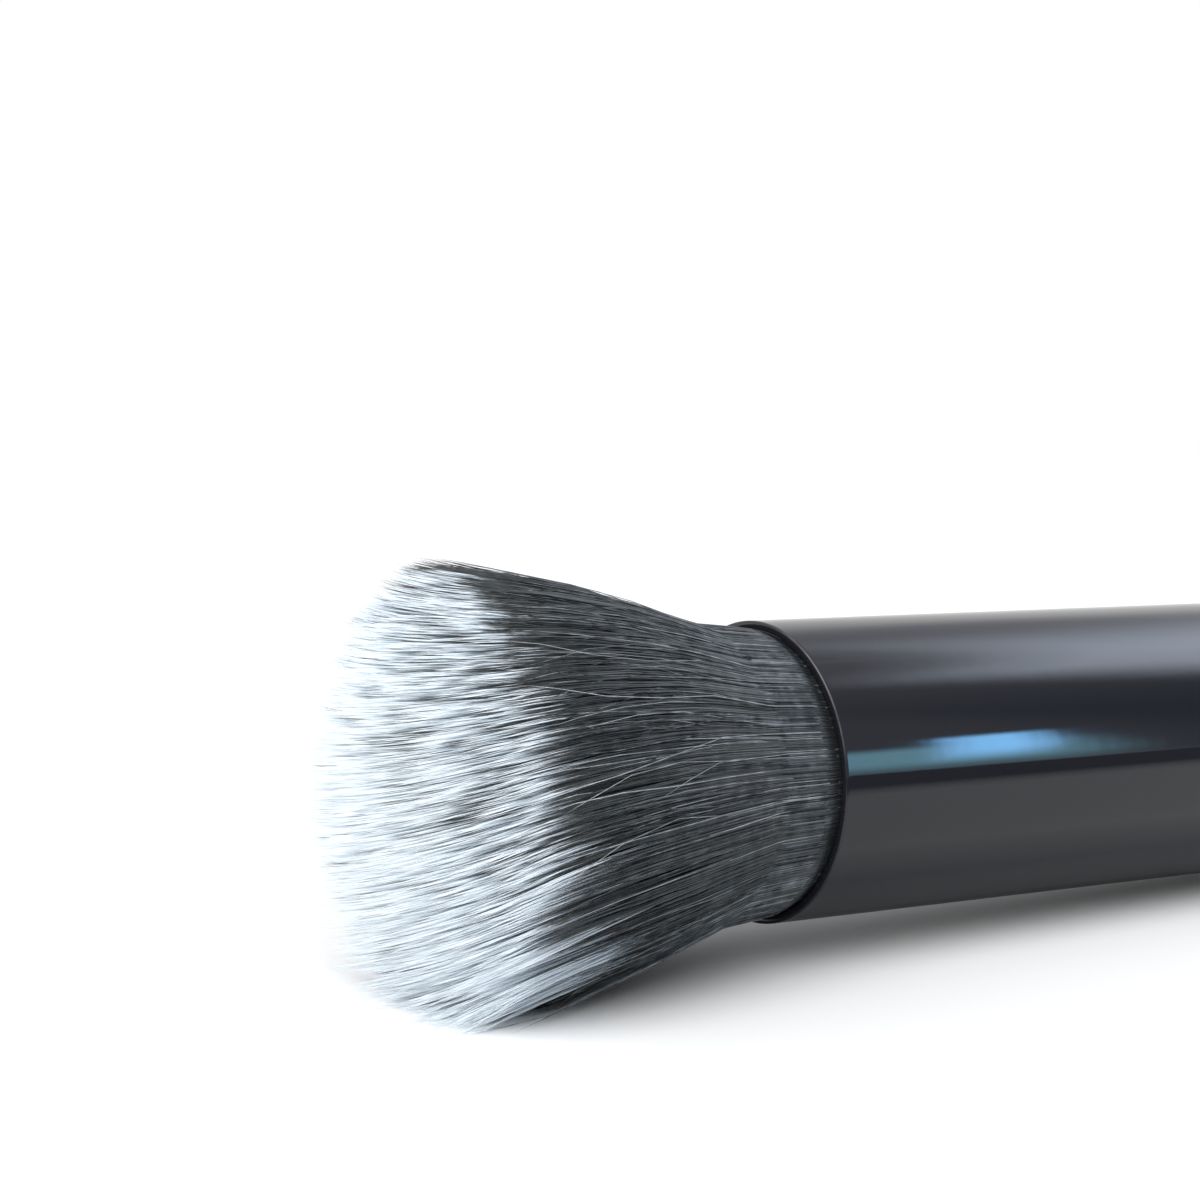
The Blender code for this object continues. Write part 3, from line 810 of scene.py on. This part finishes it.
class BRUSH_OT_handle(bpy.types.Operator):
    """Turns the handle and its tenon, and lacquers it."""

    bl_idname = "stippling.handle"
    bl_label = "Handle"

    def execute(self, context):
        handle, ferrule = settings("handle"), settings("ferrule")
        butt = -(handle.length + ferrule.fit + ferrule.length)
        rounding = np.linspace(0, math.pi / 2, 24)
        share = np.linspace(0, 1, 33)[1:]
        waist, shoulder = handle.waist_height, handle.length
        tenon = np.linspace(shoulder + ferrule.fit, shoulder + handle.tenon_length - TENON_CHAMFER, 60)
        inside = ferrule_radius(butt + tenon) - ferrule.wall - ferrule.fit
        radii = np.concatenate([
            handle.flat_radius + (handle.end_radius - handle.flat_radius) * np.sin(rounding),
            ease(handle.end_radius, handle.waist_radius, share),
            ease(handle.waist_radius, ferrule.tail_radius, share),
            inside[:1],
            inside,
            inside[-1:] - TENON_CHAMFER,
        ])
        heights = np.concatenate([
            handle.end_height * (1 - np.cos(rounding)),
            handle.end_height + (waist - handle.end_height) * share,
            waist + (shoulder - waist) * share,
            [shoulder],
            tenon,
            [shoulder + handle.tenon_length],
        ])
        piece = turned("lacquered_handle", radii, butt + heights, False, HANDLE_STEPS)
        dress(piece, handle_lacquer(), "handle_lacquer", "handle")
        return {"FINISHED"}


class BRUSH_OT_ferrule(bpy.types.Operator):
    """Draws the ferrule with its two crimps, its bore and its worn rim, whose bare metal on the upper side is
    partly a painted highlight.
    """

    bl_idname = "stippling.ferrule"
    bl_label = "Ferrule"

    def execute(self, context):
        ferrule, edge = settings("ferrule"), FERRULE_EDGE
        length = ferrule.length
        lip = np.linspace(0, math.pi / 2, 7)[1:]
        crimped = np.linspace(edge, CRIMPED_STRETCH, 90)
        plain = np.linspace(CRIMPED_STRETCH, length - RIM_ROWS[0], 30)[1:]
        outer = np.concatenate([crimped, plain, [length - RIM_ROWS[1], length - edge]]) - length
        rim_radius = ferrule_radius(-edge) - edge
        tail_radius = ferrule_radius(edge - length) - ferrule.wall
        rounded = edge * (np.sin(lip) - 1)
        reaches = np.concatenate([outer, rounded, [0, -edge], outer[::-1], [-length, -length]])
        bore = ferrule_radius(outer[::-1]) - ferrule.wall
        radii = np.concatenate([
            ferrule_radius(outer),
            rim_radius + edge * np.cos(lip),
            [ferrule_radius(0) - ferrule.wall + edge],
            [ferrule_radius(-edge) - ferrule.wall],
            bore,
            [tail_radius + edge],
            [tail_radius + ferrule.wall - edge],
        ])
        piece = turned("lacquered_ferrule", radii, reaches, True, FERRULE_STEPS)
        ring = np.zeros(len(radii))
        ring[len(outer) + 1:len(outer) + 3] = 1
        # The rim is marked worn only on its upper stretch, which paints the rim's highlight there.
        wear_and_highlight_round = np.clip(WEAR_AND_HIGHLIGHT_SPAN - np.abs(angles_round(FERRULE_STEPS) - WEAR_AND_HIGHLIGHT_AT) / WEAR_AND_HIGHLIGHT_FADE, 0, 1)
        store(piece, "edge", wear_and_highlight_round[:, None] * ring)
        dress(piece, ferrule_lacquer(), "ferrule_lacquer", "ferrule")
        return {"FINISHED"}


class BRUSH_OT_collar(bpy.types.Operator):
    """Forms the glossy collar, whose lip is slightly uneven, and the streaks under its gloss."""

    bl_idname = "stippling.collar"
    bl_label = "Mouth collar"

    def execute(self, context):
        collar = settings("collar")
        rng = np.random.default_rng(7)
        bend = np.linspace(0, math.pi, 5)[1:-1]
        swell = np.linspace(0, collar.bead_reach, 5)
        flare = np.linspace(collar.bead_reach, collar.reach - LIP_HALF, 9)[1:]
        up = np.concatenate([[-collar.skirt, -collar.skirt / 2], swell, flare])
        outer = collar_outer(up)
        middle = outer[-1] - LIP_HALF
        wall = np.interp(up, (0, collar.reach), (collar.wall, 2 * LIP_HALF))
        radii = np.concatenate([outer, middle + LIP_HALF * np.cos(bend), (outer - wall)[::-1]])
        reaches = np.concatenate([up, collar.reach - LIP_HALF + LIP_HALF * np.sin(bend), up[::-1]])
        angles = angles_round(COLLAR_STEPS)
        phases = rng.uniform(0, math.tau, len(LIP_WAVES))
        uneven = sum(np.sin(wave * angles + phase) for wave, phase in zip(LIP_WAVES, phases))
        further = LIP_UNEVEN * uneven[:, None] * np.clip(reaches / collar.reach, 0, 1) ** 2
        fibre = fibre_lines(angles, reaches, rng)
        shown = ramp(reaches, start=-0.0003, width=0.0008) * (np.arange(len(reaches)) < len(up))
        ridge = collar.ridge * fibre * shown
        piece = turned("streaked_collar", radii, reaches, True, COLLAR_STEPS, further, ridge)
        centres = rng.uniform(0, math.tau, collar.streaks)
        widths = rng.uniform(0.008, 0.030, collar.streaks)
        strengths = rng.random(collar.streaks) ** 2
        apart = np.angle(np.exp(1j * (angles[:, None] - centres)))
        streak = (strengths * np.exp(-((apart / widths) ** 2))).sum(axis=1)
        store(piece, "fibre", np.clip(0.5 + 0.5 * fibre, 0, 1) * shown)
        faded = shown * ramp(reaches, start=0.0004, width=0.0014)
        store(piece, "streak", np.clip(streak[:, None] * faded, 0, 1))
        dress(piece, collar_gloss(), "collar_gloss", "mouth_collar")
        return {"FINISHED"}


class BRUSH_OT_knot(bpy.types.Operator):
    """Makes the two slices of root resin, and finishes the thread binding and the plug behind them."""

    bl_idname = "stippling.knot"
    bl_label = "Knot"

    def execute(self, context):
        low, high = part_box("root_binding")
        depth = settings("fibres").knot_depth
        thickness = abs((high - low).x) / 2
        slices = (("dark_root_slice", "dark_fibres"), ("pale_root_slice", "pale_fibres"))
        for number, (name, node) in enumerate(slices):
            top = -depth - number * thickness
            reaches = np.array([top - thickness + SLICE_GAP, top - SLICE_GAP])
            piece = turned(name, np.full(2, SLICE_RADIUS), reaches, False, SLICE_STEPS)
            resin = resin_finish(name, (0.05, 0.045, 0.04), (0.16, 0.13, 0.10))
            dress(piece, resin, "knot_resin", node)
        plug = resin_finish("knot_resin", (0.30, 0.20, 0.09), (0.56, 0.42, 0.22))
        for node, finish in (("root_binding", thread_finish()), ("resin_plug", plug)):
            mesh = frame["nodes"][node].data
            mesh.materials.clear()
            mesh.materials.append(finish)
        return {"FINISHED"}


class BRUSH_OT_dark_fibres(bpy.types.Operator):
    """Sets the short dark fibres: a mantle of pointed locks, bound fibres, and needles among the pale."""

    bl_idname = "stippling.dark_fibres"
    bl_label = "Dark fibres"

    def execute(self, context):
        fibres = settings("fibres")
        rng = np.random.default_rng(11)
        spots = spiral(fibres.dark_mantle, 0.90, 1.0, rng)
        middles, lean, tips = dark_locks(spots, rng)
        radius = fibres.dark_radius
        mantle = fibre_bundle("dark_mantle", spots, middles, lean, tips, radius, DARK_STATIONS, rng)
        spots = spiral(fibres.dark_bound, 0.992, 1.0, rng)
        middles, lean, tips = dark_locks(spots, rng)
        bound = fibre_bundle(
            "bound_fibres", spots, middles, lean, tips, radius, DARK_STATIONS, rng,
            stray=0.0001, start=BOUND_START, fan=over_collar,
        )
        heads = spiral(fibres.dark_needles, 0.15, 1.0, rng)
        kept = np.interp(np.abs(heads), *zip(*NEEDLES_ACROSS))
        kept *= np.interp(np.degrees(np.angle(heads)), *zip(*NEEDLES_ROUND), period=360)
        heads = heads[rng.random(len(heads)) < kept]
        reaches = np.repeat(dome_reach(heads) - rng.exponential(0.0004, len(heads)), NEEDLES_EACH)
        middles = np.repeat(heads, NEEDLES_EACH)
        spots = middles + complex_normal(rng, size=0.0095, shape=len(middles))
        spots /= np.maximum(np.abs(spots), 1)
        tips = reaches - pointed(spots, middles, drop=0.0018)
        lean = np.repeat(complex_normal(rng, size=0.012, shape=len(heads)), NEEDLES_EACH)
        needles = fibre_bundle(
            "dark_needles", spots, middles, lean, tips, radius, NEEDLE_STATIONS, rng, stray=0.00008,
        )
        even = fibre_finish("dark_fibre", fibres.dark_colour, fibres.dark_colour, 0.7)
        mixed = fibre_finish("bound_fibre", fibres.dark_colour, fibres.dark_colour, 1.3)
        for piece, material in ((mantle, even), (bound, mixed), (needles, even)):
            dress(piece, material, "dark_fibre", "dark_fibres")
        return {"FINISHED"}


class BRUSH_OT_pale_fibres(bpy.types.Operator):
    """Sets the long pale fibres, whose tips make the dome and whose outer locks lean out to the dark ones."""

    bl_idname = "stippling.pale_fibres"
    bl_label = "Pale fibres"

    def execute(self, context):
        fibres = settings("fibres")
        # The pale fibres lighten towards their tips as partly painted light: the near-white tips stand in for
        # the strong light on them.
        finish = fibre_finish("pale_fibre", fibres.pale_colour, (0.90, 0.96, 1.0), 0.10)
        rng = np.random.default_rng(23)
        for name, low, high, rise in PALE_RINGS:
            spots = spiral(fibres.pale_each, low, high, rng)
            middles, number = in_locks(spots, low, high, rng)
            locks = number.max() + 1
            ragged = 0.6 * rng.uniform(-1, 1, locks)[number] + 0.7 * rng.uniform(-1, 1, len(spots))
            tips = dome_reach(spots) + fibres.tip_ragged * ragged - pointed(spots, middles, drop=0.0005)
            angles = np.angle(spots)
            share = np.interp(np.degrees(angles), *zip(*PALE_LEAN_ROUND), period=360)
            outward = np.minimum(rise * share * rng.exponential(1, locks)[number], PALE_LEAN_LIMIT)
            lean = complex_normal(rng, size=0.007, shape=locks)[number] + outward * np.exp(1j * angles)
            piece = fibre_bundle(
                name, spots, middles, lean, tips, fibres.pale_radius, PALE_STATIONS, rng, stray=0.00012,
            )
            dress(piece, finish, "pale_fibre", "pale_fibres")
        return {"FINISHED"}


class BRUSH_OT_stray_fibres(bpy.types.Operator):
    """Lays single pale fibres over the dark mantle, where they stray and cross."""

    bl_idname = "stippling.stray_fibres"
    bl_label = "Stray fibres"

    def execute(self, context):
        fibres = settings("fibres")
        rng = np.random.default_rng(31)
        share = rng.uniform(0.996, 1.006, fibres.strays)
        spots = share * np.exp(1j * rng.uniform(0, math.tau, fibres.strays))
        tips = np.minimum(dark_level(spots)[0] + rng.uniform(-0.006, 0.006, len(spots)), dome_reach(spots))
        still = np.zeros(len(spots))
        finish = fibre_finish("stray_fibre", (0.22, 0.24, 0.26), (0.78, 0.83, 0.88), 1.7)
        piece = fibre_bundle(
            "stray_fibres", spots, spots, still, tips, 0.5 * fibres.pale_radius, PALE_STATIONS, rng,
            stray=0.0009, tones=2.2, start=BOUND_START, fan=over_collar,
        )
        dress(piece, finish, "pale_fibre", "pale_fibres")
        return {"FINISHED"}


def card(name, azimuth, height, soft, distance, lean, colour, strength):
    """A card that only reflections see: a grid bent round the brush, from one azimuth and height to another.

    At an azimuth a and a height h, its place is the distance x (sine a, minus cosine a, tangent h). soft
    holds the widths over which it fades in at its first and last azimuth and at its lowest and highest edge.
    A card that leans has its azimuth moved on by lean x its height above its middle.
    """
    columns, rows = 33, 17
    across = np.radians(np.linspace(*azimuth, columns))[:, None]
    up = np.radians(np.linspace(*height, rows))[None]
    leaning = across + lean * (up - up.mean())
    x, y = np.sin(leaning), -np.cos(leaning)
    points = distance * np.stack([x, y, np.tan(up) + 0 * across], axis=-1)
    index = np.arange(columns * rows).reshape(columns, rows)
    quads = np.stack([index[:-1, :-1], index[:-1, 1:], index[1:, 1:], index[1:, :-1]], axis=-1)
    piece = make_mesh(name, points.reshape(-1, 3), quads.reshape(-1, 4))
    fade = 1.0
    for place, (low, high), widths in ((across, azimuth, soft[:2]), (up, height, soft[2:])):
        for inside, width in zip((np.degrees(place) - low, high - np.degrees(place)), widths):
            fade = fade * ease(0, 1, np.clip(inside / width, 0, 1))
    store(piece, "fade", fade)
    piece.data.materials.append(glow(name + "_glow", colour, strength))
    piece.visible_camera = piece.visible_diffuse = piece.visible_shadow = False
    piece.visible_transmission = False


def glow(name, colour, strength):
    """A card's finish: light of one colour and strength, which the card's own fade thins to nothing."""
    made, tree, _ = new_material(name)
    tree.nodes.clear()
    clear = tree.nodes.new("ShaderNodeBsdfTransparent")
    emission = add_node(tree, "ShaderNodeEmission", Color=(*colour, 1), Strength=strength)
    mix_shaders(tree, stored(tree, "fade"), clear, emission, "ShaderNodeOutputMaterial")
    return made


def floor_finish():
    """A pale matt sheet. What the camera and reflections see of it is lifted to white where no shadow falls.

    Reflections also see a dark room painted into the sheet's colour in front of the brush, and a painted
    deeper shade close under the brush.
    """
    made, tree, shader = new_material("pale_floor")
    shader.inputs["Roughness"].default_value = 0.9
    shader.inputs["Specular IOR Level"].default_value = 0.0
    mask, glossy = seen_mask(tree)
    lifted = mix_colour(tree, mask, settings("stage").floor_colour, (1.0, 1.0, 1.0))
    place = tree.nodes.new("ShaderNodeSeparateXYZ")
    tree.links.new(object_place(tree), place.inputs[0])
    # Painted reflection: for reflections only, the floor is painted dark in front of the brush and darker
    # close under it.
    front = remap(tree, place.outputs["Y"], *FLOOR_FRONT, 1, 0)
    under = remap(tree, math_node(tree, "ABSOLUTE", place.outputs["Y"]), *FLOOR_SHADE, 0.6, 0)
    painted_room_and_shade = math_node(tree, "MULTIPLY", math_node(tree, "ADD", front, under), glossy)
    tree.links.new(mix_colour(tree, painted_room_and_shade, lifted, (0.10, 0.115, 0.125)), shader.inputs["Base Color"])
    return made


def set_world():
    """Soft light from all round. The camera and reflections see it as plain white."""
    world = bpy.data.worlds.new("studio")
    bpy.context.scene.world = world
    world.use_nodes = True
    tree = world.node_tree
    tree.nodes.clear()
    mask, _ = seen_mask(tree)
    soft = add_node(tree, "ShaderNodeBackground", Color=(0.96, 0.98, 1.0, 1), Strength=0.34)
    white = add_node(tree, "ShaderNodeBackground", Color=(1, 1, 1, 1), Strength=1.0)
    mix_shaders(tree, mask, soft, white, "ShaderNodeOutputWorld")


def add_sun(name, azimuth, height, strength, angle):
    """A broad distant lamp that shines from an azimuth and a height, in degrees."""
    lamp = bpy.data.lights.new(name, "SUN")
    lamp.energy, lamp.angle, lamp.color = strength, math.radians(angle), SUN_COLOUR
    sun = bpy.data.objects.new(name, lamp)
    bpy.context.scene.collection.objects.link(sun)
    azimuth, height = math.radians(azimuth), math.radians(height)
    level = math.cos(height)
    towards = Vector((math.sin(azimuth) * level, -math.cos(azimuth) * level, math.sin(height)))
    sun.rotation_mode = "QUATERNION"
    sun.rotation_quaternion = towards.to_track_quat("Z", "Y")
    sun.visible_glossy = False


class BRUSH_OT_stage(bpy.types.Operator):
    """Lays the floor, sets the soft light and the cards that the lacquer reflects, and places the camera."""

    bl_idname = "stippling.stage"
    bl_label = "Stage"

    def execute(self, context):
        stage = settings("stage")
        corners = 3.0 * np.array([[-1, -1, 0], [-1, 1, 0], [1, -1, 0], [1, 1, 0]])
        floor = make_mesh("floor", corners, [[0, 2, 3, 1]])
        floor.data.materials.append(floor_finish())
        set_world()
        for sun in SUNS:
            add_sun(*sun)
        for row in CARDS:
            card(*row)
        data = bpy.data.cameras.new("camera")
        data.sensor_width, data.lens = 36, stage.focal_length
        data.clip_start, data.clip_end = 0.005, 20
        camera = bpy.data.objects.new("camera", data)
        context.scene.collection.objects.link(camera)
        camera.matrix_world = camera_matrix(Vector(rim_centre()), Vector(stage.camera_offset))
        context.scene.camera = camera
        context.scene.view_settings.view_transform = "Standard"
        return {"FINISHED"}


def swing(first, second, angle):
    """Two directions at right angles, turned in their plane: the first goes towards the second."""
    cosine, sine = math.cos(angle), math.sin(angle)
    return first * cosine + second * sine, second * cosine - first * sine


def camera_matrix(rim, offset):
    """The camera's place and turn: it looks at the rim, then swings a little to its left and up."""
    yaw, pitch = math.radians(-3.99), math.radians(4.55)
    ahead = -offset.normalized()
    right = ahead.cross(Vector((0, 0, 1))).normalized()
    up = right.cross(ahead)
    ahead, right = swing(ahead, right, yaw)
    ahead, up = swing(ahead, up, pitch)
    turn = Matrix((right, up, -ahead)).transposed().to_4x4()
    return Matrix.Translation(rim + offset) @ turn


class BRUSH_PT_panel(bpy.types.Panel):
    """Lists the brush's pieces in the sidebar."""

    bl_idname = "BRUSH_PT_panel"
    bl_label = "Stippling brush"
    bl_space_type = "VIEW_3D"
    bl_region_type = "UI"
    bl_category = "Stippling brush"

    def draw(self, context):
        for operator in OPERATORS:
            self.layout.operator(operator.bl_idname)


GROUPS = {
    "handle": HandleSettings,
    "ferrule": FerruleSettings,
    "collar": CollarSettings,
    "fibres": FibreSettings,
    "stage": StageSettings,
}
OPERATORS = (
    BRUSH_OT_handle,
    BRUSH_OT_ferrule,
    BRUSH_OT_collar,
    BRUSH_OT_knot,
    BRUSH_OT_dark_fibres,
    BRUSH_OT_pale_fibres,
    BRUSH_OT_stray_fibres,
    BRUSH_OT_stage,
)
CLASSES = (*GROUPS.values(), *OPERATORS, BRUSH_PT_panel)


def register():
    for made in CLASSES:
        bpy.utils.register_class(made)
    for name, group in GROUPS.items():
        setattr(bpy.types.Scene, "stippling_" + name, PointerProperty(type=group))


def unregister():
    for name in GROUPS:
        delattr(bpy.types.Scene, "stippling_" + name)
    for made in reversed(CLASSES):
        bpy.utils.unregister_class(made)


def main():
    register()
    for operator in OPERATORS:
        _, name = operator.bl_idname.split(".")
        getattr(bpy.ops.stippling, name)()


if __name__ == "__main__":
    main()
